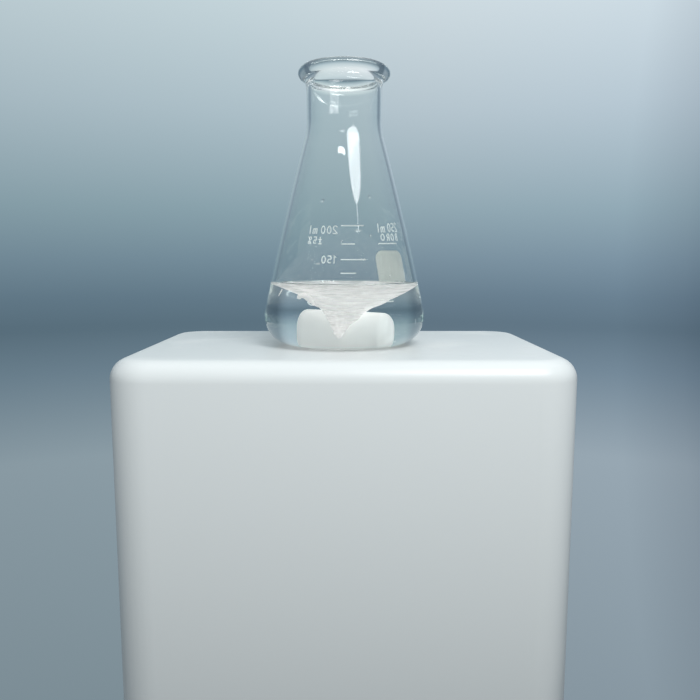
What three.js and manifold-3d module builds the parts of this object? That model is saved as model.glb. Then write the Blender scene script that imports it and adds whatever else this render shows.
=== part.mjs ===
// A 250 ml conical (Erlenmeyer) flask of blown borosilicate glass with a heavy beaded rim, printed in
// white enamel, part filled with water that a magnetic stir bar spins into a funnel.
// Millimetres, +Z up. The origin is the centre of the foot, on the surface that the flask stands on.
// The print faces +Y; an angle on the flask is counted from +Y towards +X.

import * as THREE from "three";
import { mergeVertices } from "three/addons/utils/BufferGeometryUtils.js";
import Module from "manifold-3d";

const wasm = await Module();
wasm.setup();

// ---- driving dimensions -------------------------------------------------------------------------
const HEIGHT = 133; // foot to the top of the rim
const BASE_RADIUS = 39.5; // widest point, just above the heel
const NECK_RADIUS = 18.25; // outside of the neck
const RIM_RADIUS = 22.15; // outside of the bead
const WALL = 2; // glass thickness of the side wall
const FLOOR = 3; // top face of the base glass
const HEEL = 13.1; // radius of the heel under the widest point
const SWELL = 30; // radius of the arc from the widest point into the cone
const TAPER = THREE.MathUtils.degToRad(12); // lean of the wall where the cone starts
const BOW = 1500; // radius of the cone's own slight outward bow
const SHOULDER = 35; // radius of the hollow arc from the cone into the neck
const FLARE = 5; // radius of the hollow arc from the neck into the bead
const KICK = { height: 0.8, inner: 14, outer: 20 }; // shallow hollow under the foot
const AROUND = 48; // facets round the flask

const WATER_GAP = 0.3; // the water stops this far short of the glass
const WATER_EDGE = 29.6; // height of the water at the wall while it spins
const WATER_TIP = 15.8; // height of the funnel's bottom, a film of water above the stir bar
const BAR = { length: 38, radius: 5.8, round: 3.6, turned: -25 }; // round is the ends' edge radius
const BAR_ASIDE = 1; // distance from the flask's axis to the middle of the loose bar
const BAR_GAP = 0.3; // running clearance under the stir bar, and between it and the water
const SKIN = 1.5; // thickness of the PTFE over the magnet
const FIT = 0.2; // gap between the magnet, the jacket and the plug

const PRINT_GAP = 0.08; // clearance between the glass and the enamel
const PRINT_THICK = 0.14; // thickness of the enamel
const STROKE = 0.58; // pen width of the lettering
const LINE_WIDTH = 0.62; // pen width of the graduation lines
const LINES_START = -4; // angle at which every graduation line starts, in degrees
const LONG_LINE = 24.7; // angle that a numbered line spans, in degrees
const SHORT_LINE = 14.2; // angle that a plain line spans, in degrees
const MARKS = [50, 75, 100, 125, 150, 175, 200]; // graduated volumes, in ml
const NUMBERED = 50; // every multiple of this has a long line
const SPOT = { angle: 49.5, width: 21.8, low: 21.5, high: 46.6, corner: 5 }; // matt patch for pencil notes

const deg = THREE.MathUtils.degToRad;
const neckBore = NECK_RADIUS - WALL;
const bead = (RIM_RADIUS - neckBore) / 2;
const beadCentre = new THREE.Vector2(RIM_RADIUS - bead, HEIGHT - bead);
const bowCentre = new THREE.Vector2(
  BASE_RADIUS - SWELL + (SWELL - BOW) * Math.cos(TAPER),
  HEEL + (SWELL - BOW) * Math.sin(TAPER),
);
const steepest = Math.acos((NECK_RADIUS + SHOULDER - bowCentre.x) / (BOW + SHOULDER));
const shoulderTop = bowCentre.y + (BOW + SHOULDER) * Math.sin(steepest);

// ---- small tools --------------------------------------------------------------------------------
function arc(x, y, radius, from, to, steps) {
  return Array.from({ length: steps + 1 }, (_, i) => {
    const angle = from + ((to - from) * i) / steps;
    return new THREE.Vector2(x + radius * Math.cos(angle), y + radius * Math.sin(angle));
  });
}

function point(x, y) {
  return new THREE.Vector2(x, y);
}

function spun(profile, around) {
  return new THREE.LatheGeometry(profile, around).rotateX(Math.PI / 2);
}

function named(name, geometry, material) {
  const mesh = new THREE.Mesh(geometry, material);
  mesh.name = name;
  return mesh;
}

function solidOf(geometry) {
  const bare = geometry.clone();
  bare.deleteAttribute("normal");
  bare.deleteAttribute("uv");
  const merged = mergeVertices(bare, 1e-4);
  return new wasm.Manifold(
    new wasm.Mesh({
      numProp: 3,
      vertProperties: merged.attributes.position.array,
      triVerts: new Uint32Array(merged.index.array),
    }),
  );
}

function geometryOf(solid) {
  const mesh = solid.getMesh();
  const geometry = new THREE.BufferGeometry();
  geometry.setAttribute("position", new THREE.BufferAttribute(mesh.vertProperties, mesh.numProp));
  geometry.setIndex(new THREE.BufferAttribute(mesh.triVerts, 1));
  return geometry;
}

// ---- materials ----------------------------------------------------------------------------------
const glass = new THREE.MeshStandardMaterial({
  color: 0xdfe9ea,
  roughness: 0.03,
  metalness: 0,
  transparent: true,
  opacity: 0.3,
});
const liquid = new THREE.MeshStandardMaterial({
  color: 0xd3e2e8,
  roughness: 0.02,
  metalness: 0,
  transparent: true,
  opacity: 0.4,
});
const enamel = new THREE.MeshStandardMaterial({ color: 0xe9ecec, roughness: 0.45, metalness: 0 });
const pencilSpot = new THREE.MeshStandardMaterial({ color: 0xc6ccc8, roughness: 0.85, metalness: 0 });
const ptfe = new THREE.MeshStandardMaterial({ color: 0xf2f2ee, roughness: 0.5, metalness: 0 });
const magnet = new THREE.MeshStandardMaterial({ color: 0x55565a, roughness: 0.5, metalness: 0.8 });

// ---- the glass ----------------------------------------------------------------------------------
// The side wall from the widest point to the top of the cone, moved outwards by offset.
function cone(offset) {
  return [
    ...arc(BASE_RADIUS - SWELL, HEEL, SWELL + offset, 0, TAPER, 3),
    ...arc(bowCentre.x, bowCentre.y, BOW + offset, TAPER, steepest, 6).slice(1),
  ];
}

// The hollow arc that leads from the cone into the neck, moved outwards by offset.
function shoulder(offset) {
  const centre = NECK_RADIUS + SHOULDER;
  return arc(centre, shoulderTop, SHOULDER - offset, Math.PI + steepest, Math.PI, 4).slice(1);
}

// The inside of the heel, from the floor up to the widest point, moved inwards by gap.
function heelInside(gap) {
  const radius = HEEL - FLOOR;
  return arc(BASE_RADIUS - WALL - radius, HEEL, radius - gap, -Math.PI / 2, 0, 7);
}

function flaskGlass() {
  const flareCentre = point(
    NECK_RADIUS + FLARE,
    beadCentre.y - Math.sqrt((FLARE + bead) ** 2 - (NECK_RADIUS + FLARE - beadCentre.x) ** 2),
  );
  const touch = Math.atan2(flareCentre.y - beadCentre.y, flareCentre.x - beadCentre.x);
  const outside = [
    point(0, KICK.height),
    point(KICK.inner, KICK.height),
    point(KICK.outer, 0),
    ...arc(BASE_RADIUS - HEEL, HEEL, HEEL, -Math.PI / 2, 0, 8),
    ...cone(0).slice(1),
    ...shoulder(0),
    ...arc(flareCentre.x, flareCentre.y, FLARE, Math.PI, Math.PI + touch, 3),
    ...arc(beadCentre.x, beadCentre.y, bead, touch, Math.PI, 11).slice(1),
  ];
  const inside = [...heelInside(0), ...cone(-WALL).slice(1), ...shoulder(-WALL)].reverse();
  return named("flask", spun([...outside, ...inside, point(0, FLOOR)], AROUND), glass);
}

// Radius, at a height, of a line of points that climbs the wall.
function radiusAt(height, wall) {
  const above = wall.findIndex((p) => p.y > height);
  const [low, high] = [wall[above - 1], wall[above]];
  return low.x + ((high.x - low.x) * (height - low.y)) / (high.y - low.y);
}

// ---- the water ----------------------------------------------------------------------------------
const barHeight = FLOOR + BAR_GAP + BAR.radius;

// Share of the water's depth above the funnel's bottom, against the share of the way to the wall.
const FUNNEL = [
  [0, 0],
  [0.24, 0.02],
  [0.3, 0.07],
  [0.41, 0.25],
  [0.57, 0.61],
  [0.75, 0.87],
  [0.9, 0.97],
  [1, 1],
];

// Lays a shape that is built along its own axis down on the flask's floor.
function layDown(geometry) {
  const turn = new THREE.Matrix4().makeRotationZ(deg(BAR.turned));
  return geometry.rotateY(Math.PI / 2).applyMatrix4(turn).translate(BAR_ASIDE, 0, barHeight);
}

// Half of the bar's outline, moved outwards by gap, from one end's middle to the other's.
function barOutline(gap) {
  const edge = BAR.radius - BAR.round;
  const inset = BAR.length / 2 - BAR.round;
  return [
    point(0, -BAR.length / 2 - gap),
    ...arc(edge, -inset, BAR.round + gap, -Math.PI / 2, 0, 4),
    ...arc(edge, inset, BAR.round + gap, 0, Math.PI / 2, 4),
    point(0, BAR.length / 2 + gap),
  ];
}

function water() {
  const wall = cone(-WALL - WATER_GAP);
  const edge = point(radiusAt(WATER_EDGE, wall), WATER_EDGE);
  const funnel = FUNNEL.map(([out, up]) =>
    point(edge.x * out, WATER_TIP + (WATER_EDGE - WATER_TIP) * up),
  ).reverse();
  const profile = [
    point(0, FLOOR + WATER_GAP),
    ...heelInside(WATER_GAP),
    ...wall.slice(1).filter((p) => p.y < WATER_EDGE - 1),
    ...funnel,
  ];
  const pocket = solidOf(layDown(spun(barOutline(BAR_GAP), 24)));
  const below = new THREE.BoxGeometry(2 * barHeight, 2 * (BAR.radius + BAR_GAP), BAR.length);
  const opened = pocket.add(solidOf(layDown(below.translate(barHeight, 0, 0))));
  return named("water", geometryOf(solidOf(spun(profile, AROUND)).subtract(opened)), liquid);
}

// ---- the stir bar ---------------------------------------------------------------------------------
function stirBar() {
  const bore = BAR.radius - SKIN;
  const mouth = BAR.length / 2 - BAR.round; // where the jacket ends and the plug's cap starts
  const socket = mouth - 3; // where the plug's spigot ends
  const inner = SKIN - BAR.length / 2; // the jacket's closed end, inside
  const around = 28;
  const jacket = [
    ...barOutline(0).filter((p) => p.y <= mouth - FIT),
    point(BAR.radius, mouth),
    point(bore, mouth),
    point(bore, inner + 1),
    point(bore - 1, inner),
    point(0, inner),
  ];
  const plug = [
    point(0, socket + FIT),
    point(bore - FIT, socket + FIT),
    point(bore - FIT, mouth + FIT),
    point(BAR.radius, mouth + FIT),
    ...barOutline(0).filter((p) => p.y > mouth + FIT),
  ];
  const core = [
    point(0, inner + FIT),
    point(bore - 1 - FIT, inner + FIT),
    point(bore - FIT, inner + 1 + FIT),
    point(bore - FIT, socket - 0.5),
    point(bore - FIT - 0.5, socket),
    point(0, socket),
  ];
  return [
    named("stir_bar_jacket", layDown(spun(jacket, around)), ptfe),
    named("stir_bar_plug", layDown(spun(plug, around)), ptfe),
    named("stir_bar_magnet", layDown(spun(core, around)), magnet),
  ];
}

// ---- the print ----------------------------------------------------------------------------------
// Height to which this many millilitres of still water fill the flask.
function levelOf(millilitres) {
  const step = 0.02;
  const heelRadius = HEEL - FLOOR;
  const heelCentre = BASE_RADIUS - WALL - heelRadius;
  const wall = cone(-WALL);
  let cubicMm = 0;
  let height = FLOOR;
  while (cubicMm < millilitres * 1000) {
    const below = HEEL - height;
    const inHeel = heelCentre + Math.sqrt(heelRadius ** 2 - below ** 2);
    const inner = below > 0 ? inHeel : radiusAt(height, wall);
    cubicMm += Math.PI * inner ** 2 * step;
    height += step;
  }
  return height;
}

// The skin that all of the print is cut from.
function enamelSkin() {
  const inner = cone(PRINT_GAP);
  const outer = cone(PRINT_GAP + PRINT_THICK);
  return solidOf(spun([...outer, ...inner.reverse(), outer[0]], AROUND));
}

const skin = enamelSkin();

// Stands a flat outline, drawn with x to the reader's right and y up, in front of the flask's axis.
function standing(shape, angle, height) {
  const depth = BASE_RADIUS + 1;
  const solid = new THREE.ExtrudeGeometry(shape, { depth, bevelEnabled: false, curveSegments: 6 });
  const right = new THREE.Vector3(-Math.cos(deg(angle)), Math.sin(deg(angle)), 0);
  const out = new THREE.Vector3(Math.sin(deg(angle)), Math.cos(deg(angle)), 0);
  const frame = new THREE.Matrix4().makeBasis(right, new THREE.Vector3(0, 0, 1), out);
  frame.setPosition(0, 0, height);
  return solidOf(solid.applyMatrix4(frame));
}

function printed(name, shapes, angle, height, material = enamel) {
  const outline = shapes.map((shape) => standing(shape, angle, height)).reduce((a, b) => a.add(b));
  return named(name, geometryOf(skin.intersect(outline)), material);
}

function box(left, bottom, right, top) {
  return new THREE.Shape([
    point(left, bottom),
    point(right, bottom),
    point(right, top),
    point(left, top),
  ]);
}

// A pen stroke of constant width along a line of points.
function stroke(points, width) {
  const half = width / 2;
  const sides = points.map((p, i) => {
    const before = points[Math.max(i - 1, 0)];
    const after = points[Math.min(i + 1, points.length - 1)];
    const along = after.clone().sub(before).normalize();
    const bend = i > 0 && i < points.length - 1;
    const turn = bend ? along.dot(after.clone().sub(p).normalize()) : 1;
    const reach = half / Math.max(turn, 0.5);
    const across = point(-along.y * reach, along.x * reach);
    return [p.clone().add(across), p.clone().sub(across)];
  });
  return new THREE.Shape([...sides.map((s) => s[1]), ...sides.map((s) => s[0]).reverse()]);
}

// An upright oval ring; wide and high are half of its outside measures.
function ring(x, y, wide, high, width) {
  const steps = 14;
  const oval = (inset) =>
    arc(0, 0, 1, 0, 2 * Math.PI, steps)
      .slice(1)
      .map((p) => point(x + p.x * (wide - inset), y + p.y * (high - inset)));
  const outline = new THREE.Shape(oval(0));
  outline.holes.push(new THREE.Path(oval(width)));
  return outline;
}

// The bowl of a B or an R between two heights, with its straight arms reaching back to the stem.
function loop(x, low, high, width) {
  const radius = (high - low - width) / 2;
  const middle = (high + low) / 2;
  const bowl = arc(x, middle, radius, Math.PI / 2, -Math.PI / 2, 6);
  return stroke([point(0, middle + radius), ...bowl, point(0, middle - radius)], width);
}

// Each letter is drawn one unit high, with its pen width w in the same unit, and gives its strokes.
const LETTERS = {
  0: (w) => [ring(0.3, 0.5, 0.3, 0.5, w)],
  1: (w) => [box(0.3 - w / 2, 0, 0.3 + w / 2, 1), stroke([point(0.04, 0.74), point(0.3, 0.93)], w)],
  2: (w) => [
    stroke([...arc(0.3, 0.72, 0.25, 2.8, -0.5, 8), point(0.04, w / 2)], w),
    box(0.02, 0, 0.62, w),
  ],
  5: (w) => [
    stroke([point(0.56, 1 - w / 2), point(0.12, 1 - w / 2), point(0.08, 0.55)], w),
    stroke([point(0.08, 0.5), ...arc(0.29, 0.32, 0.29 - w / 2, 1.9, -2.5, 9)], w),
  ],
  m: (w) => [
    box(0, 0, w, 0.68),
    stroke([...arc(0.2, 0.48, 0.2 - w / 2, 3, 0, 5), point(0.4 - w / 2, 0)], w),
    stroke([...arc(0.2 + 0.4 - w, 0.48, 0.2 - w / 2, 3, 0, 5), point(0.8 - w * 1.5, 0)], w),
  ],
  l: (w) => [box(0, 0, w, 1)],
  plus_minus: (w) => [
    box(0, 0.54, 0.5, 0.54 + w),
    box(0, 0, 0.5, w),
    box(0.25 - w / 2, 0, 0.25 + w / 2, 0.95),
  ],
  percent: (w) => [
    stroke([point(0.1, 0), point(0.62, 1)], w * 0.8),
    ring(0.25, 0.76, 0.2, 0.24, w * 0.8),
    ring(0.47, 0.24, 0.2, 0.24, w * 0.8),
  ],
  B: (w) => [
    box(0, 0, w, 1),
    loop(0.28, 0.52 - w / 2, 1, w),
    loop(0.3, 0, 0.52 + w / 2, w),
  ],
  O: (w) => [ring(0.36, 0.5, 0.38, 0.5, w)],
  R: (w) => [
    box(0, 0, w, 1),
    loop(0.28, 0.46 - w / 2, 1, w),
    stroke([point(0.26, 0.5), point(0.55, 0)], w),
  ],
};
const ADVANCE = { 0: 0.8, 1: 0.62, 2: 0.8, 5: 0.78, m: 0.98, l: 0.4, plus_minus: 0.72, percent: 0.9 };
const CAPITAL = 1.06; // advance of a capital letter

// Prints a line of lettering that starts at an angle and runs to the reader's right.
function lettering(group, prefix, letters, size, angle, height) {
  const radius = radiusAt(height + size / 2, cone(PRINT_GAP));
  let travelled = 0;
  const seen = {};
  for (const letter of letters) {
    if (letter === " ") {
      travelled += 0.3 * size;
      continue;
    }
    const advance = (ADVANCE[letter] ?? CAPITAL) * size;
    const middle = travelled + advance / 2;
    const shapes = LETTERS[letter](STROKE / size).map((shape) => scaled(shape, size, -advance / 2));
    seen[letter] = (seen[letter] ?? 0) + 1;
    const copy = seen[letter] > 1 ? "_" + seen[letter] : "";
    const turned = angle - THREE.MathUtils.radToDeg(middle / radius);
    group.add(printed(prefix + "_" + letter + copy, shapes, turned, height));
    travelled += advance;
  }
}

function scaled(shape, size, shift) {
  const moved = (path) => path.getPoints().map((p) => point(p.x * size + shift, p.y * size));
  const made = new THREE.Shape(moved(shape));
  made.holes = shape.holes.map((hole) => new THREE.Path(moved(hole)));
  return made;
}

function graduationLine(millilitres) {
  const height = levelOf(millilitres);
  const span = millilitres % NUMBERED === 0 ? LONG_LINE : SHORT_LINE;
  const half = radiusAt(height, cone(PRINT_GAP)) * Math.sin(deg(span / 2));
  const line = box(-half, -LINE_WIDTH / 2, half, LINE_WIDTH / 2);
  return printed("line_" + millilitres + "_ml", [line], LINES_START + span / 2, height);
}

function roundedBox({ width, low, high, corner }) {
  const half = width / 2;
  const shape = new THREE.Shape();
  shape.absarc(half - corner, high - corner, corner, 0, Math.PI / 2, false);
  shape.absarc(corner - half, high - corner, corner, Math.PI / 2, Math.PI, false);
  shape.absarc(corner - half, low + corner, corner, Math.PI, 1.5 * Math.PI, false);
  shape.absarc(half - corner, low + corner, corner, 1.5 * Math.PI, 2 * Math.PI, false);
  return shape;
}

function print() {
  const group = new THREE.Group();
  const top = levelOf(200);
  for (const mark of MARKS) group.add(graduationLine(mark));
  lettering(group, "mark_200", ["2", "0", "0", " ", "m", "l"], 4.4, -7.5, top - 4.4);
  lettering(group, "tolerance", ["plus_minus", "5", "percent"], 4.1, -24, top - 9.8);
  for (const mark of [150, 100, 50])
    lettering(group, "mark_" + mark, [...String(mark)], 4.4, -8, levelOf(mark) - 2.2);
  lettering(group, "capacity", ["2", "5", "0", " ", "m", "l"], 4.6, 70.5, top - 3.7);
  lettering(group, "glass_type", ["B", "O", "R", "O"], 3.8, 67, top - 8.1);
  const underline = box(-7.5, -LINE_WIDTH / 2, 7.5, LINE_WIDTH / 2);
  group.add(printed("label_underline", [underline], 49.5, top - 9.4));
  group.add(printed("marking_spot", [roundedBox(SPOT)], SPOT.angle, 0, pencilSpot));
  return group;
}

const conicalFlask = new THREE.Group();
conicalFlask.add(flaskGlass(), water(), ...stirBar(), print());

export default conicalFlask;
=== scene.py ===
"""Conical glass flask with stirred water: fine meshes, materials and a studio stage.

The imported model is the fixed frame. The glass, the water and the stir bar are replaced by finer
meshes of the same size, and the print keeps its own solids and gets a worn enamel.
"""

import math
import random

import bmesh
import bpy
from mathutils import Matrix, Vector


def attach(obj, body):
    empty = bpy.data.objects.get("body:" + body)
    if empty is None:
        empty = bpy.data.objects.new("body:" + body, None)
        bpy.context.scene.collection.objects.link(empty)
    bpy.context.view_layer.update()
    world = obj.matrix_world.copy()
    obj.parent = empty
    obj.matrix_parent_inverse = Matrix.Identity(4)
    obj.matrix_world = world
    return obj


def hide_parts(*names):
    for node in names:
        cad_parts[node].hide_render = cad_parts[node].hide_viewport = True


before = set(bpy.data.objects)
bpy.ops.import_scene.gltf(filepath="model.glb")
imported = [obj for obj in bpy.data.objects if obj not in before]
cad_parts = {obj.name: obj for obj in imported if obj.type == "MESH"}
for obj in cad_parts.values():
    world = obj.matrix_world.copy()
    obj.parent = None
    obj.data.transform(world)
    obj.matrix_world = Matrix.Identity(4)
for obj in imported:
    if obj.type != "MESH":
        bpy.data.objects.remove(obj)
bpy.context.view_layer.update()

bl_info = {
    "name": "Conical flask",
    "version": (1, 0, 0),
    "blender": (4, 5, 0),
    "location": "View3D > Sidebar > Flask",
    "description": "Builds a conical flask with stirred water on a studio stage",
    "category": "Object",
}

MM = 0.001

# ---- the flask's own sizes, in millimetres ------------------------------------------------------
HEIGHT = 133
BASE_RADIUS = 39.5
NECK_RADIUS = 18.25
RIM_RADIUS = 22.15
WALL = 2
FLOOR = 3
HEEL = 13.1
SWELL = 30
TAPER = math.radians(12)
BOW = 1500
SHOULDER = 35
FLARE = 5
KICK_HEIGHT = 0.8
KICK_INNER = 14
KICK_OUTER = 20

BAR_LENGTH = 38
BAR_RADIUS = 5.8
BAR_ROUND = 3.6
BAR_TURNED = math.radians(-25)
BAR_ASIDE = 1  # distance from the axis to the middle of the loose bar
BAR_GAP = 0.3
BAR_HEIGHT = FLOOR + BAR_GAP + BAR_RADIUS
FILM = 0.35  # thinnest water over the bar

WATER_LEVEL = 29.8  # at the wall, under the meniscus
WATER_TIP = 8.0  # bottom of the funnel, where it dips in front of the bar
FROTH_TOP = 0.1  # depth of the layer of bubbles under the surface, top and bottom
FROTH_BOTTOM = 0.28
MENISCUS = 0.9  # height that the water climbs the glass
CONTACT = 0.04  # clearance between the water's mesh and the glass
LEAN = 3.8  # how far the funnel's middle leans to the right
TIP_LEFT = 2.2  # place of the funnel's bottom, to the left of the axis and in front of it
TIP_FORWARD = 9.5
CLIMB = 38  # how fast the meniscus falls away from the wall

AROUND = 256

BOW_X = BASE_RADIUS - SWELL + (SWELL - BOW) * math.cos(TAPER)
BOW_Z = HEEL + (SWELL - BOW) * math.sin(TAPER)
STEEPEST = math.acos((NECK_RADIUS + SHOULDER - BOW_X) / (BOW + SHOULDER))
SHOULDER_TOP = BOW_Z + (BOW + SHOULDER) * math.sin(STEEPEST)


# ---- mesh tools ---------------------------------------------------------------------------------
def arc(x, z, radius, start, end, steps):
    """Points (radius from the axis, height) along an arc, both ends included."""
    turns = (start + (end - start) * i / steps for i in range(steps + 1))
    return [(x + radius * math.cos(a), z + radius * math.sin(a)) for a in turns]


def side(offset):
    """The side wall from the widest point to the top of the shoulder, moved outwards by offset."""
    swell = arc(BASE_RADIUS - SWELL, HEEL, SWELL + offset, 0, TAPER, 12)
    cone = arc(BOW_X, BOW_Z, BOW + offset, TAPER, STEEPEST, 48)
    hollow = arc(
        NECK_RADIUS + SHOULDER, SHOULDER_TOP, SHOULDER - offset, math.pi + STEEPEST, math.pi, 20
    )
    return swell + cone[1:] + hollow[1:]


def heel_inside(gap):
    radius = HEEL - FLOOR
    return arc(BASE_RADIUS - WALL - radius, HEEL, radius - gap, -math.pi / 2, 0, 24)


INNER_SIDE = side(-WALL)


def radius_at(height, line):
    """Radius of a climbing line of points at a height."""
    for (r0, z0), (r1, z1) in zip(line, line[1:]):
        if z1 >= height:
            return r0 + (r1 - r0) * (height - z0) / (z1 - z0)
    return line[-1][0]


def angles(count):
    return [2 * math.pi * i / count for i in range(count)]


def ring(radius, height):
    """One row of points round the axis; a radius of zero gives the pole."""
    if radius == 0:
        return [Vector((0, 0, height)) * MM]
    return [
        Vector((radius * math.cos(a), radius * math.sin(a), height)) * MM for a in angles(AROUND)
    ]


def skin(name, rows, bands, materials):
    """A closed mesh from rows of points, with a material slot for each band between two rows."""
    points = [p for row in rows for p in row]
    starts = [sum(len(row) for row in rows[:k]) for k in range(len(rows))]
    faces = []
    slots = []
    for k in range(len(rows) - 1):
        low, high = len(rows[k]), len(rows[k + 1])
        for i in range(max(low, high)):
            j = i + 1
            a = starts[k] + i % low
            b = starts[k] + j % low
            c = starts[k + 1] + j % high
            d = starts[k + 1] + i % high
            faces.append(list(dict.fromkeys((a, b, c, d))))
            slots.append(bands[k])
    mesh = bpy.data.meshes.new(name)
    mesh.from_pydata(points, [], faces)
    for material in materials:
        mesh.materials.append(material)
    mesh.polygons.foreach_set("material_index", slots)
    mesh.polygons.foreach_set("use_smooth", [True] * len(faces))
    tool = bmesh.new()
    tool.from_mesh(mesh)
    bmesh.ops.recalc_face_normals(tool, faces=tool.faces)
    tool.to_mesh(mesh)
    tool.free()
    made = bpy.data.objects.new(name, mesh)
    bpy.context.scene.collection.objects.link(made)
    return made


# ---- node tools ---------------------------------------------------------------------------------
def add(tree, kind, **settings):
    """A node with its attributes set; names of sockets go in the inputs dictionary."""
    made = tree.nodes.new(kind)
    for key, value in settings.pop("inputs", {}).items():
        made.inputs[key].default_value = value
    for key, value in settings.items():
        setattr(made, key, value)
    return made


def link(tree, source, target):
    tree.links.new(source, target)


def new_group(name, inputs, outputs):
    """A node group with float inputs (name, default) and outputs (name, socket type)."""
    group = bpy.data.node_groups.new(name, "ShaderNodeTree")
    for label, default in inputs:
        socket = group.interface.new_socket(label, in_out="INPUT", socket_type="NodeSocketFloat")
        socket.default_value = default
    for label, kind in outputs:
        group.interface.new_socket(label, in_out="OUTPUT", socket_type=kind)
    return group, group.nodes.new("NodeGroupInput"), group.nodes.new("NodeGroupOutput")


def patches_group():
    """Soft patches with a threshold: Scale sets their size, Amount how much they cover."""
    name = "patches"
    if name in bpy.data.node_groups:
        return bpy.data.node_groups[name]
    group, start, end = new_group(
        name, [("Scale", 200), ("Amount", 0.5), ("Softness", 0.1)], [("Mask", "NodeSocketFloat")]
    )
    place = add(group, "ShaderNodeTexCoord")
    noise = add(group, "ShaderNodeTexNoise", inputs={"Detail": 5, "Roughness": 0.6})
    low = add(group, "ShaderNodeMath", operation="SUBTRACT", inputs={0: 1.0})
    high = add(group, "ShaderNodeMath", operation="ADD")
    step = add(group, "ShaderNodeMapRange", interpolation_type="SMOOTHSTEP")
    link(group, place.outputs["Object"], noise.inputs["Vector"])
    link(group, start.outputs["Scale"], noise.inputs["Scale"])
    link(group, start.outputs["Amount"], low.inputs[1])
    link(group, low.outputs[0], high.inputs[0])
    link(group, start.outputs["Softness"], high.inputs[1])
    link(group, noise.outputs["Fac"], step.inputs["Value"])
    link(group, low.outputs[0], step.inputs["From Min"])
    link(group, high.outputs[0], step.inputs["From Max"])
    link(group, step.outputs["Result"], end.inputs["Mask"])
    return group


def waves_group():
    """Normals of a slightly uneven surface: Scale sets the size of the waves, Height their height."""
    name = "uneven_surface"
    if name in bpy.data.node_groups:
        return bpy.data.node_groups[name]
    group, start, end = new_group(
        name, [("Scale", 60), ("Height", 0.00001)], [("Normal", "NodeSocketVector")]
    )
    place = add(group, "ShaderNodeTexCoord")
    noise = add(group, "ShaderNodeTexNoise", inputs={"Detail": 2, "Roughness": 0.4})
    bump = add(group, "ShaderNodeBump", inputs={"Strength": 1.0})
    link(group, place.outputs["Object"], noise.inputs["Vector"])
    link(group, start.outputs["Scale"], noise.inputs["Scale"])
    link(group, start.outputs["Height"], bump.inputs["Distance"])
    link(group, noise.outputs["Fac"], bump.inputs["Height"])
    link(group, bump.outputs["Normal"], end.inputs["Normal"])
    return group


def use_group(tree, group, **inputs):
    made = add(tree, "ShaderNodeGroup", node_tree=group)
    for key, value in inputs.items():
        made.inputs[key].default_value = value
    return made


def new_material(name, **constants):
    """A material with one Principled shader whose constants are set on its own sockets."""
    made = bpy.data.materials.new(name)
    made.use_nodes = True
    shader = made.node_tree.nodes["Principled BSDF"]
    for key, value in constants.items():
        shader.inputs[key.replace("_", " ")].default_value = value
    return made, made.node_tree, shader


def rough_from_patches(tree, shader, clean, dull, scale, amount, softness=0.2):
    """Drives roughness from a clean value to a dull one in soft patches."""
    mask = use_group(tree, patches_group(), Scale=scale, Amount=amount, Softness=softness)
    mix = add(tree, "ShaderNodeMapRange", inputs={"To Min": clean, "To Max": dull})
    link(tree, mask.outputs["Mask"], mix.inputs["Value"])
    link(tree, mix.outputs["Result"], shader.inputs["Roughness"])


def uneven(tree, shader, scale, height):
    waves = use_group(tree, waves_group(), Scale=scale, Height=height)
    link(tree, waves.outputs["Normal"], shader.inputs["Normal"])


# ---- settings -----------------------------------------------------------------------------------
class GlassSettings(bpy.types.PropertyGroup):
    tint: bpy.props.FloatVectorProperty(
        name="Tint",
        description="Colour of the clear glass",
        subtype="COLOR",
        size=4,
        default=(0.96, 0.985, 0.977, 1),
    )
    ior: bpy.props.FloatProperty(
        name="Glass IOR", description="Refractive index of the glass", default=1.474
    )
    unevenness: bpy.props.FloatProperty(
        name="Unevenness",
        description="Height of the shallow waves that blowing leaves in the wall",
        subtype="DISTANCE",
        unit="LENGTH",
        default=0.000012,
    )


class WaterSettings(bpy.types.PropertyGroup):
    tint: bpy.props.FloatVectorProperty(
        name="Tint",
        description="Colour of the water",
        subtype="COLOR",
        size=4,
        default=(0.99, 1.0, 1.0, 1),
    )
    ior: bpy.props.FloatProperty(
        name="Water IOR", description="Refractive index of the water", default=1.333
    )
    swirl: bpy.props.FloatProperty(
        name="Swirl",
        description="Height of the spiral ridges in the funnel",
        subtype="DISTANCE",
        unit="LENGTH",
        default=0.00055,
    )
    froth_colour: bpy.props.FloatVectorProperty(
        name="Froth",
        description="Colour of the fine bubbles under the surface",
        subtype="COLOR",
        size=4,
        default=(0.93, 0.905, 0.895, 1),
    )
    froth_emission: bpy.props.FloatProperty(
        name="Froth emission",
        description="Emission that stands in for the light scattered by the bubbles",
        subtype="FACTOR",
        min=0,
        max=1,
        default=0.33,
    )
    froth_thin: bpy.props.FloatProperty(
        name="Thinnest froth",
        description="How much the bubbles cover where they are thinnest",
        subtype="FACTOR",
        min=0,
        max=1,
        default=0.55,
    )
    froth_edge: bpy.props.FloatProperty(
        name="Froth at the wall",
        description="Share of the froth that is left near the glass",
        subtype="FACTOR",
        min=0,
        max=1,
        default=0.6,
    )
    froth_thick: bpy.props.FloatProperty(
        name="Thickest froth",
        description="How much the bubbles cover where they are thickest",
        subtype="FACTOR",
        min=0,
        max=1,
        default=0.98,
    )


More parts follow.
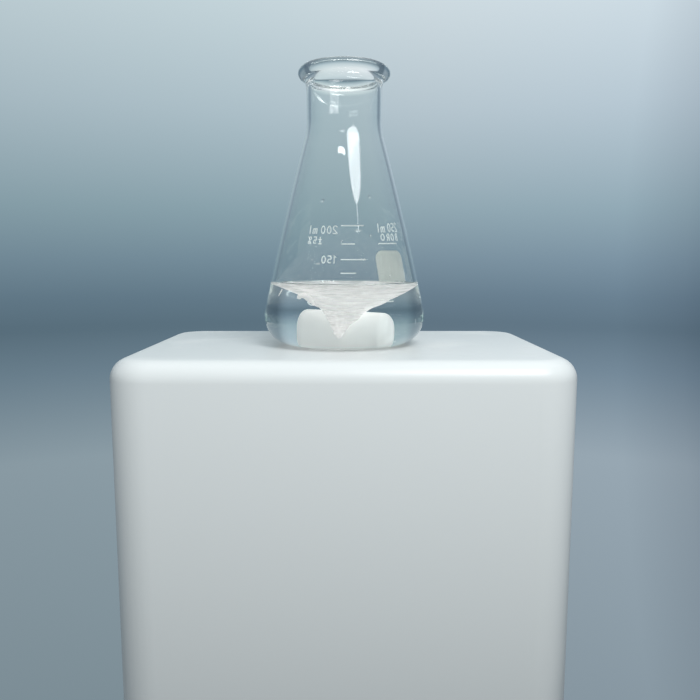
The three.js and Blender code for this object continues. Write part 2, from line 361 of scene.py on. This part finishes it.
class PrintSettings(bpy.types.PropertyGroup):
    colour: bpy.props.FloatVectorProperty(
        name="Enamel",
        description="Colour of the fired print",
        subtype="COLOR",
        size=4,
        default=(0.92, 0.96, 0.97, 1),
    )
    patch_colour: bpy.props.FloatVectorProperty(
        name="Pencil patch",
        description="Colour of the matt patch for notes",
        subtype="COLOR",
        size=4,
        default=(0.88, 0.93, 0.90, 1),
    )
    emission: bpy.props.FloatProperty(
        name="Print emission",
        description="Emission that stands in for the light scattered through the enamel",
        subtype="FACTOR",
        min=0,
        max=1,
        default=0.42,
    )
    wear: bpy.props.FloatProperty(
        name="Wear",
        description="Share of the lettering that has rubbed off",
        subtype="FACTOR",
        min=0,
        max=1,
        default=0.22,
    )


class BarSettings(bpy.types.PropertyGroup):
    colour: bpy.props.FloatVectorProperty(
        name="Jacket",
        description="Colour of the stir bar's PTFE jacket",
        subtype="COLOR",
        size=4,
        default=(0.88, 0.9, 0.89, 1),
    )
    emission: bpy.props.FloatProperty(
        name="Jacket emission",
        description="Emission that stands in for the light scattered in the jacket",
        subtype="FACTOR",
        min=0,
        max=1,
        default=0.3,
    )


class StageSettings(bpy.types.PropertyGroup):
    floor_colour: bpy.props.FloatVectorProperty(
        name="Floor",
        description="Colour of the pale slab under the flask",
        subtype="COLOR",
        size=4,
        default=(0.55, 0.58, 0.58, 1),
    )
    slab_width: bpy.props.FloatProperty(
        name="Slab width", subtype="DISTANCE", unit="LENGTH", description="Along X", default=0.202
    )
    slab_depth: bpy.props.FloatProperty(
        name="Slab depth", subtype="DISTANCE", unit="LENGTH", description="Along Y", default=0.138
    )
    key_power: bpy.props.FloatProperty(
        name="Key light",
        description="Power of the soft light at the front right",
        subtype="POWER",
        unit="POWER",
        default=4.2,
    )
    soft_power: bpy.props.FloatProperty(
        name="Soft light",
        description="Power of the large high light, which the glass does not mirror",
        subtype="POWER",
        unit="POWER",
        default=6.0,
    )
    floor_power: bpy.props.FloatProperty(
        name="Floor light",
        description="Power of the low light on the slab's front, which the glass does not show",
        subtype="POWER",
        unit="POWER",
        default=5.0,
    )
    window_power: bpy.props.FloatProperty(
        name="Window light",
        description="Power of the small window lights at the front",
        subtype="POWER",
        unit="POWER",
        default=0.2,
    )
    backdrop_strength: bpy.props.FloatProperty(
        name="Backdrop", description="Brightness of the backdrop", default=1.0
    )


# ---- the glass ----------------------------------------------------------------------------------
def clear_glass(settings):
    material, tree, shader = new_material(
        "clear_glass", Base_Color=settings.tint, IOR=settings.ior, Transmission_Weight=1.0
    )
    rough_from_patches(tree, shader, 0.0, 0.035, 90, 0.52)
    uneven(tree, shader, 45, settings.unevenness)
    return material


def wet_glass(settings, water):
    """The part of the inner wall that the water touches: the index there is that of glass in water."""
    material, tree, shader = new_material(
        "wet_glass",
        Base_Color=settings.tint,
        IOR=settings.ior / water.ior,
        Transmission_Weight=1.0,
        Roughness=0.0,
    )
    uneven(tree, shader, 45, settings.unevenness)
    return material


class FLASK_OT_glass(bpy.types.Operator):
    """Builds the glass flask, with the wetted part of its inner wall apart"""

    bl_idname = "flask.glass"
    bl_label = "Glass"

    def execute(self, context):
        settings = context.scene.flask_glass
        bead = (RIM_RADIUS - NECK_RADIUS + WALL) / 2
        bead_x, bead_z = RIM_RADIUS - bead, HEIGHT - bead
        flare_x = NECK_RADIUS + FLARE
        flare_z = bead_z - math.sqrt((FLARE + bead) ** 2 - (flare_x - bead_x) ** 2)
        touch = math.atan2(flare_z - bead_z, flare_x - bead_x)
        foot = [
            (0, KICK_HEIGHT),
            (KICK_INNER * 0.5, KICK_HEIGHT),
            (KICK_INNER, KICK_HEIGHT - 0.08),
            (KICK_INNER + 2, KICK_HEIGHT * 0.62),
            (KICK_OUTER - 2, KICK_HEIGHT * 0.2),
            (KICK_OUTER, 0.02),
            (KICK_OUTER + 2, 0),
        ]
        outside = foot + arc(BASE_RADIUS - HEEL, HEEL, HEEL, -math.pi / 2, 0, 28)
        outside += side(0)[1:]
        outside += [(NECK_RADIUS, SHOULDER_TOP + 5), (NECK_RADIUS, SHOULDER_TOP + 10)]
        outside += arc(flare_x, flare_z, FLARE, math.pi, math.pi + touch, 10)
        outside += arc(bead_x, bead_z, bead, touch, math.pi, 40)[1:]
        inside = [(r, z) for r, z in reversed(heel_inside(0) + INNER_SIDE[1:])]
        above = [(r, z) for r, z in inside if z > WATER_LEVEL + MENISCUS + 1.2]
        below = [(r, z) for r, z in inside if z < WATER_LEVEL - 1.2]
        rows = [ring(r, z) for r, z in outside + above]
        wet_from = len(rows)
        contact = WATER_LEVEL + MENISCUS
        rows.append(ring(radius_at(contact, INNER_SIDE), contact))
        rows += [ring(r, z) for r, z in below]
        rows += [ring(r, FLOOR) for r in (20, 12, 5, 0)]
        bands = [0 if k < wet_from else 1 for k in range(len(rows) - 1)]
        materials = [clear_glass(settings), wet_glass(settings, context.scene.flask_water)]
        flask = skin("flask_glass", rows, bands, materials)
        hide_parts("flask")
        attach(flask, "flask")
        return {"FINISHED"}


# ---- the water ----------------------------------------------------------------------------------
# Share of the depth above the funnel's bottom, against the share of the way to the wall.
FUNNEL = [
    (0, 0),
    (0.05, 0.035),
    (0.12, 0.15),
    (0.2, 0.27),
    (0.29, 0.385),
    (0.41, 0.51),
    (0.57, 0.70),
    (0.75, 0.85),
    (0.9, 0.95),
    (1, 1),
]


def eased(table, x):
    """Smooth curve through a table of points that climbs steadily."""
    slopes = [(b[1] - a[1]) / (b[0] - a[0]) for a, b in zip(table, table[1:])]
    tangents = [slopes[0]]
    tangents += [2 * a * b / (a + b) if a + b else 0 for a, b in zip(slopes, slopes[1:])]
    tangents.append(slopes[-1])
    for k, ((x0, y0), (x1, y1)) in enumerate(zip(table, table[1:])):
        if x <= x1:
            width = x1 - x0
            t = (x - x0) / width
            start = (1 + 2 * t) * (1 - t) ** 2 * y0 + t * (1 - t) ** 2 * width * tangents[k]
            end = t * t * (3 - 2 * t) * y1 + t * t * (t - 1) * width * tangents[k + 1]
            return start + end
    return table[-1][1]


def bar_cover(x, y):
    """Height of the water's film over the stir bar at a place, or zero beside the bar."""
    along = (x - BAR_ASIDE) * math.cos(BAR_TURNED) + y * math.sin(BAR_TURNED)
    across = y * math.cos(BAR_TURNED) - (x - BAR_ASIDE) * math.sin(BAR_TURNED)
    reach = BAR_RADIUS + FILM
    beyond = max(abs(along) - BAR_LENGTH / 2 + BAR_ROUND, 0)
    if abs(across) >= reach or beyond >= BAR_ROUND + FILM:
        return 0
    sunk = BAR_ROUND + FILM - math.sqrt((BAR_ROUND + FILM) ** 2 - beyond**2)
    reach -= sunk
    return BAR_HEIGHT + math.sqrt(max(reach**2 - across**2, 0))


def water_surface(share, angle, swirl):
    """A point of the spinning surface, in millimetres; share is the share of the way to the wall."""
    radius = (radius_at(WATER_LEVEL + MENISCUS, INNER_SIDE) - CONTACT) * share
    depth = eased(FUNNEL, share)
    lean = LEAN * math.sin(math.pi * min(depth, 1)) * depth - TIP_LEFT * (1 - depth) ** 2
    x = radius * math.cos(angle) + lean
    y = radius * math.sin(angle) - TIP_FORWARD * (1 - depth) ** 1.6
    z = WATER_TIP + (WATER_LEVEL - WATER_TIP) * depth
    z += MENISCUS * math.exp(-(1 - share) * CLIMB)
    calm = math.sin(math.pi * min(max(share, 0), 1)) ** 0.8
    winding = 3.2 * math.log(share + 0.06)
    ridges = math.sin(2 * angle + winding * 1.6 + 0.4)
    ridges += 0.6 * math.sin(5 * angle + winding * 3.1 + 1.3)
    ridges += 0.35 * math.sin(11 * angle + winding * 5.3)
    z += swirl * calm * ridges * (1 - 0.55 * share)
    return x, y, max(z, bar_cover(x, y))


def water_material(name, settings, ior):
    return new_material(
        name, Base_Color=settings.tint, IOR=ior, Transmission_Weight=1.0, Roughness=0.0
    )


class FLASK_OT_water(bpy.types.Operator):
    """Builds the spinning water, whose sides lie against the glass"""

    bl_idname = "flask.water"
    bl_label = "Water"

    def execute(self, context):
        settings = context.scene.flask_water
        swirl = settings.swirl / MM
        inner = side(-WALL - CONTACT)
        top, tree, shader = water_material("water_surface", settings, settings.ior)
        uneven(tree, shader, 140, 0.00004)
        touching, tree, shader = water_material("water_against_glass", settings, 1.0)
        uneven(tree, shader, 45, 0.000001)
        rows = [ring(r, FLOOR + CONTACT) for r in (0, 5, 12, 20)]
        rows += [ring(r, z) for r, z in heel_inside(CONTACT)]
        rows += [ring(r, z) for r, z in inner[1:] if z < WATER_LEVEL - 1.2]
        against = len(rows)
        shares = [1 - 0.12 * (k / 14) ** 1.6 for k in range(15)]
        shares += [0.88 * (1 - k / 90) for k in range(1, 90)]
        for share in shares:
            rows.append(
                [Vector(water_surface(share, a, swirl)) * MM for a in angles(AROUND)]
            )
        rows.append([Vector(water_surface(0, 0, 0)) * MM])
        bands = [0 if k >= against else 1 for k in range(len(rows) - 1)]
        water = skin("stirred_water", rows, bands, [top, touching])
        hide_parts("water")
        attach(water, "stirring")
        return {"FINISHED"}


# Paths of the glowing white strands, painted highlights under the surface at the front left: (x, y,
# height, radius of the strand), in millimetres.
HIGHLIGHT_STRANDS = [
    [
        (-19.4, -20.0, 22.8, 0.9),
        (-19.1, -20.5, 24.0, 1.3),
        (-17.5, -21.0, 24.5, 1.3),
        (-15.6, -21.5, 24.1, 1.2),
        (-14.2, -21.5, 22.8, 1.1),
        (-13.2, -21.5, 21.0, 0.9),
        (-12.6, -21.0, 19.6, 0.4),
    ],
    [
        (-29.6, -18.0, 24.2, 0.3),
        (-28.4, -18.0, 26.0, 0.45),
        (-27.5, -18.0, 27.4, 0.3),
    ],
]


def froth_material(name, settings, thinnest, edge):
    """Fine bubbles in level streaks; they cover least where they are thinnest and near the wall."""
    material, tree, shader = new_material(
        name, IOR=1.333, Roughness=0.6, Emission_Strength=settings.froth_emission
    )
    shader.inputs["Emission Color"].default_value = settings.froth_colour
    shader.inputs["Base Color"].default_value = settings.froth_colour
    shader.inputs["Subsurface Weight"].default_value = 0.9
    shader.inputs["Subsurface Radius"].default_value = (0.004, 0.004, 0.004)
    place = add(tree, "ShaderNodeTexCoord")
    stretch = add(tree, "ShaderNodeVectorMath", operation="MULTIPLY")
    stretch.inputs[1].default_value = (90, 90, 900)
    streaks = add(tree, "ShaderNodeTexNoise", inputs={"Scale": 1.0, "Detail": 6.0})
    cover = add(tree, "ShaderNodeMapRange", interpolation_type="SMOOTHSTEP")
    cover.inputs["From Min"].default_value = 0.36
    cover.inputs["From Max"].default_value = 0.62
    cover.inputs["To Min"].default_value = thinnest
    cover.inputs["To Max"].default_value = settings.froth_thick
    link(tree, place.outputs["Object"], stretch.inputs[0])
    link(tree, stretch.outputs[0], streaks.inputs["Vector"])
    link(tree, streaks.outputs["Fac"], cover.inputs["Value"])
    flat = add(tree, "ShaderNodeVectorMath", operation="MULTIPLY")
    flat.inputs[1].default_value = (1, 1, 0)
    radius = add(tree, "ShaderNodeVectorMath", operation="LENGTH")
    fade = add(tree, "ShaderNodeMapRange", interpolation_type="SMOOTHSTEP")
    fade.inputs["From Min"].default_value = 0.014
    fade.inputs["From Max"].default_value = 0.034
    fade.inputs["To Min"].default_value = 1
    fade.inputs["To Max"].default_value = edge
    kept = add(tree, "ShaderNodeMath", operation="MULTIPLY")
    link(tree, place.outputs["Object"], flat.inputs[0])
    link(tree, flat.outputs[0], radius.inputs[0])
    link(tree, radius.outputs["Value"], fade.inputs["Value"])
    link(tree, cover.outputs["Result"], kept.inputs[0])
    link(tree, fade.outputs["Result"], kept.inputs[1])
    link(tree, kept.outputs[0], shader.inputs["Alpha"])
    return material


def strand(name, path, material):
    """A round strand along a path, with pointed ends, that carries a painted highlight."""
    points = [Vector(p[:3]) for p in path]
    rows = [[points[0] * MM]]
    for k, (*_, radius) in enumerate(path):
        along = points[min(k + 1, len(path) - 1)] - points[max(k - 1, 0)]
        side_on = along.cross(Vector((0, 1, 0))).normalized()
        other = along.cross(side_on).normalized()
        rows.append(
            [
                (points[k] + side_on * radius * math.cos(a) + other * radius * math.sin(a)) * MM
                for a in (2 * math.pi * i / 16 for i in range(16))
            ]
        )
    rows.append([points[-1] * MM])
    made = skin(name, rows, [0] * (len(rows) - 1), [material])
    smooth = made.modifiers.new("smooth", "SUBSURF")
    smooth.levels = smooth.render_levels = 2
    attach(made, "stirring")


class FLASK_OT_froth(bpy.types.Operator):
    """Builds the thin layer of fine air bubbles that the whirl drags under the water's surface"""

    bl_idname = "flask.froth"
    bl_label = "Froth"

    def execute(self, context):
        settings = context.scene.flask_water
        swirl = settings.swirl / MM
        shares = [0.985 - 0.975 * k / 80 for k in range(81)]
        rows = []
        for depth, order in ((FROTH_TOP, shares), (FROTH_BOTTOM, shares[::-1])):
            for share in order:
                down = Vector((0, 0, depth))
                row = [Vector(water_surface(share, a, swirl)) - down for a in angles(AROUND)]
                rows.append([p * MM for p in row])
        rows.append(rows[0])
        material = froth_material("froth", settings, settings.froth_thin, settings.froth_edge)
        froth = skin("froth", rows, [0] * (len(rows) - 1), [material])
        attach(froth, "stirring")
        # The strands are painted highlights: dense froth that glows white.
        highlight_glow = froth_material("painted_highlight_strand", settings, 0.85, 1)
        for k, path in enumerate(HIGHLIGHT_STRANDS):
            strand(f"painted_highlight_strand_{k + 1}", path, highlight_glow)
        return {"FINISHED"}


# ---- droplets on the inner wall -----------------------------------------------------------------
# Angle from the front (-Y) towards +X in degrees, height, half width and half height in millimetres.
DROPLETS = [
    (27.7, 70.3, 0.8, 0.7),
    (-22.0, 68.4, 0.75, 0.9),
    (24.4, 52.2, 0.7, 0.7),
    (8.7, 73.7, 0.45, 0.45),
    (-26.3, 41.3, 0.6, 0.5),
    (12.7, 54.6, 1.7, 0.45),
    (-2.0, 49.4, 0.55, 1.1),
    (-20.5, 39.6, 1.2, 0.45),
]


class FLASK_OT_droplets(bpy.types.Operator):
    """Scatters small water droplets on the inner wall above the water"""

    bl_idname = "flask.droplets"
    bl_label = "Droplets"

    def execute(self, context):
        settings = context.scene.flask_water
        seeded = random.Random(4)
        drops = list(DROPLETS)
        for _ in range(9):
            size = seeded.uniform(0.18, 0.42)
            height = 33 + 50 * seeded.random() ** 1.7
            drops.append((seeded.uniform(-180, 180), height, size, size * 1.1))
        tool = bmesh.new()
        for turn, height, wide, high in drops:
            angle = math.radians(turn) - math.pi / 2
            radius = radius_at(height, INNER_SIDE) - 0.03
            out = Vector((math.cos(angle), math.sin(angle), 0.24)).normalized()
            across = Vector((-math.sin(angle), math.cos(angle), 0))
            up = out.cross(across)
            centre = Vector((radius * math.cos(angle), radius * math.sin(angle), height))
            deep = 0.42 * min(wide, high)
            place = Matrix.Translation((centre - out * deep * 0.9) * MM)
            place @= Matrix((across, up, out)).transposed().to_4x4()
            place @= Matrix.Diagonal((wide * MM, high * MM, deep * MM * 0.85, 1))
            bmesh.ops.create_icosphere(tool, subdivisions=3, radius=1, matrix=place)
        mesh = bpy.data.meshes.new("droplets")
        tool.to_mesh(mesh)
        tool.free()
        mesh.polygons.foreach_set("use_smooth", [True] * len(mesh.polygons))
        material, tree, shader = water_material("droplet_water", settings, settings.ior)
        uneven(tree, shader, 300, 0.00001)
        mesh.materials.append(material)
        made = bpy.data.objects.new("droplets", mesh)
        context.scene.collection.objects.link(made)
        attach(made, "flask")
        return {"FINISHED"}


# ---- the stir bar -------------------------------------------------------------------------------
class FLASK_OT_stir_bar(bpy.types.Operator):
    """Builds the stir bar's smooth jacket, and gives the magnet its material"""

    bl_idname = "flask.stir_bar"
    bl_label = "Stir bar"

    def execute(self, context):
        settings = context.scene.flask_bar
        inset = BAR_LENGTH / 2 - BAR_ROUND
        edge = BAR_RADIUS - BAR_ROUND
        profile = [(0, -BAR_LENGTH / 2), (edge * 0.6, -BAR_LENGTH / 2)]
        profile += arc(edge, -inset, BAR_ROUND, -math.pi / 2, 0, 14)
        profile += [(BAR_RADIUS, z) for z in (-8, -0.001)]
        profile += [(r, -z) for r, z in reversed(profile)]
        rows = [ring(0 if r < 1e-6 else r, z) for r, z in profile]
        material, tree, shader = new_material(
            "ptfe", Base_Color=settings.colour, IOR=1.35, Emission_Strength=settings.emission
        )
        shader.inputs["Emission Color"].default_value = settings.colour
        shader.inputs["Subsurface Weight"].default_value = 0.15
        shader.inputs["Subsurface Radius"].default_value = (0.002, 0.002, 0.002)
        rough_from_patches(tree, shader, 0.38, 0.6, 600, 0.5)
        uneven(tree, shader, 900, 0.00001)
        bar = skin("stir_bar_body", rows, [0] * (len(rows) - 1), [material])
        lie = Matrix.Translation((BAR_ASIDE * MM, 0, BAR_HEIGHT * MM))
        lie @= Matrix.Rotation(BAR_TURNED, 4, "Z") @ Matrix.Rotation(math.pi / 2, 4, "Y")
        bar.data.transform(lie)
        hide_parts("stir_bar_jacket", "stir_bar_plug")
        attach(bar, "stirring")
        steel, tree, shader = new_material(
            "magnet", Base_Color=(0.12, 0.12, 0.13, 1), Metallic=0.9
        )
        rough_from_patches(tree, shader, 0.35, 0.6, 900, 0.5)
        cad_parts["stir_bar_magnet"].data.materials.clear()
        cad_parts["stir_bar_magnet"].data.materials.append(steel)
        return {"FINISHED"}


# ---- the print ----------------------------------------------------------------------------------
def enamel(name, colour, wear, rough, emission):
    """Fired enamel: slightly uneven in colour, with pinholes and rubbed patches that let through."""
    material, tree, shader = new_material(name, IOR=1.5, Emission_Strength=emission)
    shade = add(tree, "ShaderNodeTexNoise", inputs={"Scale": 900.0, "Detail": 3.0})
    place = add(tree, "ShaderNodeTexCoord")
    tone = add(tree, "ShaderNodeMix", data_type="RGBA")
    tone.inputs["A"].default_value = [c * 0.9 for c in colour[:3]] + [1]
    tone.inputs["B"].default_value = colour
    link(tree, place.outputs["Object"], shade.inputs["Vector"])
    link(tree, shade.outputs["Fac"], tone.inputs["Factor"])
    link(tree, tone.outputs["Result"], shader.inputs["Base Color"])
    link(tree, tone.outputs["Result"], shader.inputs["Emission Color"])
    rough_from_patches(tree, shader, rough, rough + 0.25, 700, 0.5)
    uneven(tree, shader, 1500, 0.00001)
    gone = use_group(tree, patches_group(), Scale=420, Amount=wear, Softness=0.12)
    keep = add(tree, "ShaderNodeMapRange", inputs={"To Min": 0.94, "To Max": 0.12})
    link(tree, gone.outputs["Mask"], keep.inputs["Value"])
    link(tree, keep.outputs["Result"], shader.inputs["Alpha"])
    return material


class FLASK_OT_print(bpy.types.Operator):
    """Gives every printed mark its enamel, more worn on the small lettering than on the lines"""

    bl_idname = "flask.print"
    bl_label = "Print"

    def execute(self, context):
        settings = context.scene.flask_print
        colour, wear, emission = settings.colour, settings.wear, settings.emission
        patch_emission = emission * 0.55
        fresh = enamel("enamel", colour, wear, 0.4, emission)
        worn = enamel("worn_enamel", colour, wear + 0.18, 0.5, emission)
        patch = enamel("pencil_patch", settings.patch_colour, wear * 0.5, 0.65, patch_emission)
        for name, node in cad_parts.items():
            if name.startswith(("line", "mark_", "capacity")):
                chosen = fresh
            elif name.startswith(("tolerance", "glass_type", "label")):
                chosen = worn
            else:
                continue
            node.data.materials.clear()
            node.data.materials.append(chosen)
        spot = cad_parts["marking_spot"]
        spot.data.materials.clear()
        spot.data.materials.append(patch)
        return {"FINISHED"}


# ---- the stage ----------------------------------------------------------------------------------
SLAB_DEEP = 0.4
SLAB_CLEAR = 0.00004  # keeps the slab's top off the foot ring, which lies at zero
SLAB_CORNER = 0.02
SLAB_EDGE = 0.009
TAIL_SHARE = 0.006  # power of the key light's tail and of the low window, against the main ones
LOW_SHARE = 0.35


def colour_ramp(tree, part, stops):
    """Colours by one part of the direction looked in, such as its height, from -1 to 1."""
    shift = add(tree, "ShaderNodeMapRange")
    shift.inputs["From Min"].default_value = -1
    ramp = add(tree, "ShaderNodeValToRGB")
    while len(ramp.color_ramp.elements) < len(stops):
        ramp.color_ramp.elements.new(0.5)
    for element, (at, colour) in zip(ramp.color_ramp.elements, stops):
        element.position = (at + 1) / 2
        element.color = (*colour, 1)
    link(tree, part, shift.inputs["Value"])
    link(tree, shift.outputs["Result"], ramp.inputs["Fac"])
    return ramp.outputs["Color"]


def backdrop(context, settings):
    """A grey-blue wall behind the flask, and a grey room on the other sides. The wall is darker at
    both far sides, which the water shows the other way round."""
    world = bpy.data.worlds.new("backdrop")
    world.use_nodes = True
    tree = world.node_tree
    place = add(tree, "ShaderNodeTexCoord")
    split = add(tree, "ShaderNodeSeparateXYZ")
    link(tree, place.outputs["Generated"], split.inputs["Vector"])
    wall = [
        (-0.6, (0.22, 0.28, 0.32)),
        (-0.26, (0.30, 0.37, 0.42)),
        (-0.15, (0.17, 0.24, 0.30)),
        (-0.09, (0.115, 0.175, 0.225)),
        (-0.05, (0.14, 0.21, 0.27)),
        (0.0, (0.195, 0.28, 0.345)),
        (0.07, (0.28, 0.385, 0.44)),
        (0.2, (0.46, 0.555, 0.615)),
        (0.33, (0.61, 0.70, 0.745)),
        (0.7, (0.8, 0.85, 0.88)),
        (1.0, (1.2, 1.25, 1.27)),
    ]
    room = [
        (-0.6, (0.26, 0.29, 0.31)),
        (-0.1, (0.26, 0.29, 0.31)),
        (0.2, (0.34, 0.38, 0.40)),
        (0.75, (0.44, 0.48, 0.50)),
        (0.9, (0.8, 0.83, 0.85)),
        (1.0, (1.2, 1.25, 1.27)),
    ]
    across = [
        (-0.58, (0.45, 0.5, 0.55)),
        (-0.45, (0.83, 0.87, 0.87)),
        (-0.15, (0.9, 0.94, 0.94)),
        (0.1, (1.0, 1.0, 1.0)),
        (0.36, (1.04, 1.05, 1.07)),
        (0.43, (0.86, 0.87, 0.9)),
        (0.52, (0.42, 0.47, 0.52)),
    ]
    shade = add(tree, "ShaderNodeMix", data_type="RGBA", blend_type="MULTIPLY")
    shade.inputs["Factor"].default_value = 1
    facing = add(tree, "ShaderNodeMapRange", interpolation_type="SMOOTHSTEP")
    facing.inputs["From Min"].default_value = 0.45
    facing.inputs["From Max"].default_value = -0.35
    mix = add(tree, "ShaderNodeMix", data_type="RGBA")
    ground = tree.nodes["Background"]
    ground.inputs["Strength"].default_value = settings.backdrop_strength
    link(tree, split.outputs["Y"], facing.inputs["Value"])
    link(tree, facing.outputs["Result"], mix.inputs["Factor"])
    link(tree, colour_ramp(tree, split.outputs["Z"], wall), shade.inputs["A"])
    link(tree, colour_ramp(tree, split.outputs["X"], across), shade.inputs["B"])
    link(tree, shade.outputs["Result"], mix.inputs["A"])
    link(tree, colour_ramp(tree, split.outputs["Z"], room), mix.inputs["B"])
    link(tree, mix.outputs["Result"], ground.inputs["Color"])
    context.scene.world = world


def area_light(name, place, size, power, shape="RECTANGLE", mirrored=True, refracted=True):
    """A light turned to the flask from a place, given as the azimuth to the right of the front, the
    elevation and the distance. Without mirrored or refracted the glass doesn't show it."""
    azimuth, elevation, distance = place
    data = bpy.data.lights.new(name, "AREA")
    data.shape = shape
    data.size, data.size_y = size
    data.energy = power
    lamp = bpy.data.objects.new(name, data)
    lamp.visible_glossy = mirrored
    lamp.visible_transmission = refracted
    a, e = math.radians(azimuth), math.radians(elevation)
    toward = Vector((math.sin(a) * math.cos(e), -math.cos(a) * math.cos(e), math.sin(e)))
    lamp.location = Vector((0, 0, 0.07)) + toward * distance
    lamp.rotation_euler = (-toward).to_track_quat("-Z", "Y").to_euler()
    bpy.context.scene.collection.objects.link(lamp)
    return lamp


class FLASK_OT_stage(bpy.types.Operator):
    """Builds the pale slab, the backdrop, the soft lights and the camera"""

    bl_idname = "flask.stage"
    bl_label = "Stage"

    def execute(self, context):
        settings = context.scene.flask_stage
        tool = bmesh.new()
        size = Matrix.Diagonal((settings.slab_width, settings.slab_depth, SLAB_DEEP, 1))
        place = Matrix.Translation((0, 0, -SLAB_DEEP / 2 - SLAB_CLEAR))
        bmesh.ops.create_cube(tool, size=1, matrix=place @ size)
        upright = [e for e in tool.edges if abs(e.verts[0].co.z - e.verts[1].co.z) > 0.1]
        bmesh.ops.bevel(
            tool, geom=upright, offset=SLAB_CORNER, segments=10, profile=0.5, affect="EDGES"
        )
        top = [e for e in tool.edges if all(v.co.z > -0.001 for v in e.verts)]
        bmesh.ops.bevel(
            tool, geom=top, offset=SLAB_EDGE, segments=8, profile=0.5, affect="EDGES"
        )
        mesh = bpy.data.meshes.new("floor_slab")
        tool.to_mesh(mesh)
        tool.free()
        mesh.polygons.foreach_set("use_smooth", [True] * len(mesh.polygons))
        material, tree, shader = new_material("floor_slab", Base_Color=settings.floor_colour)
        rough_from_patches(tree, shader, 0.3, 0.45, 30, 0.5)
        uneven(tree, shader, 400, 0.000015)
        mesh.materials.append(material)
        slab = bpy.data.objects.new("floor_slab", mesh)
        context.scene.collection.objects.link(slab)
        backdrop(context, settings)
        key, soft, low = settings.key_power, settings.soft_power, settings.floor_power
        window = settings.window_power
        area_light("key_light", (29, 46, 0.9), (0.5, 0.5), key, "ELLIPSE")
        area_light("key_tail", (27.5, 28.5, 0.9), (0.014, 0.07), key * TAIL_SHARE)
        area_light("soft_light", (35, 52, 1.2), (0.6, 0.6), soft, mirrored=False)
        area_light("floor_light", (0, 10, 1.2), (0.6, 0.3), low, mirrored=False, refracted=False)
        area_light("window_light", (-7, 38.5, 1.0), (0.28, 0.014), window)
        area_light("low_window", (-31, 14.1, 1.0), (0.5, 0.012), window * LOW_SHARE)
        eye = bpy.data.cameras.new("camera")
        eye.lens = 36
        eye.sensor_width = 36
        camera = bpy.data.objects.new("camera", eye)
        camera.location = (0.0028, -0.3506, 0.0415)
        camera.rotation_euler = (math.radians(90 - 7.33), 0, 0)
        context.scene.collection.objects.link(camera)
        context.scene.camera = camera
        context.scene.view_settings.view_transform = "Standard"
        context.scene.cycles.max_bounces = 128
        context.scene.cycles.transmission_bounces = 128
        context.scene.cycles.glossy_bounces = 64
        return {"FINISHED"}


# ---- the add-on ---------------------------------------------------------------------------------
class FLASK_PT_panel(bpy.types.Panel):
    bl_label = "Conical flask"
    bl_idname = "FLASK_PT_panel"
    bl_space_type = "VIEW_3D"
    bl_region_type = "UI"
    bl_category = "Flask"

    def draw(self, context):
        for key in SETTINGS:
            box = self.layout.box()
            for name in SETTINGS[key].__annotations__:
                box.prop(getattr(context.scene, key), name)
        for operator in OPERATORS:
            self.layout.operator(operator.bl_idname)


SETTINGS = {
    "flask_glass": GlassSettings,
    "flask_water": WaterSettings,
    "flask_bar": BarSettings,
    "flask_print": PrintSettings,
    "flask_stage": StageSettings,
}
OPERATORS = [
    FLASK_OT_glass,
    FLASK_OT_water,
    FLASK_OT_froth,
    FLASK_OT_droplets,
    FLASK_OT_stir_bar,
    FLASK_OT_print,
    FLASK_OT_stage,
]


def register():
    for cls in [*SETTINGS.values(), *OPERATORS, FLASK_PT_panel]:
        bpy.utils.register_class(cls)
    for key, group in SETTINGS.items():
        setattr(bpy.types.Scene, key, bpy.props.PointerProperty(type=group))


def unregister():
    for key in SETTINGS:
        delattr(bpy.types.Scene, key)
    for cls in [FLASK_PT_panel, *reversed(OPERATORS), *reversed(SETTINGS.values())]:
        bpy.utils.unregister_class(cls)


def main():
    register()
    bpy.ops.flask.glass()
    bpy.ops.flask.water()
    bpy.ops.flask.froth()
    bpy.ops.flask.droplets()
    bpy.ops.flask.stir_bar()
    bpy.ops.flask.print()
    bpy.ops.flask.stage()


if __name__ == "__main__":
    main()
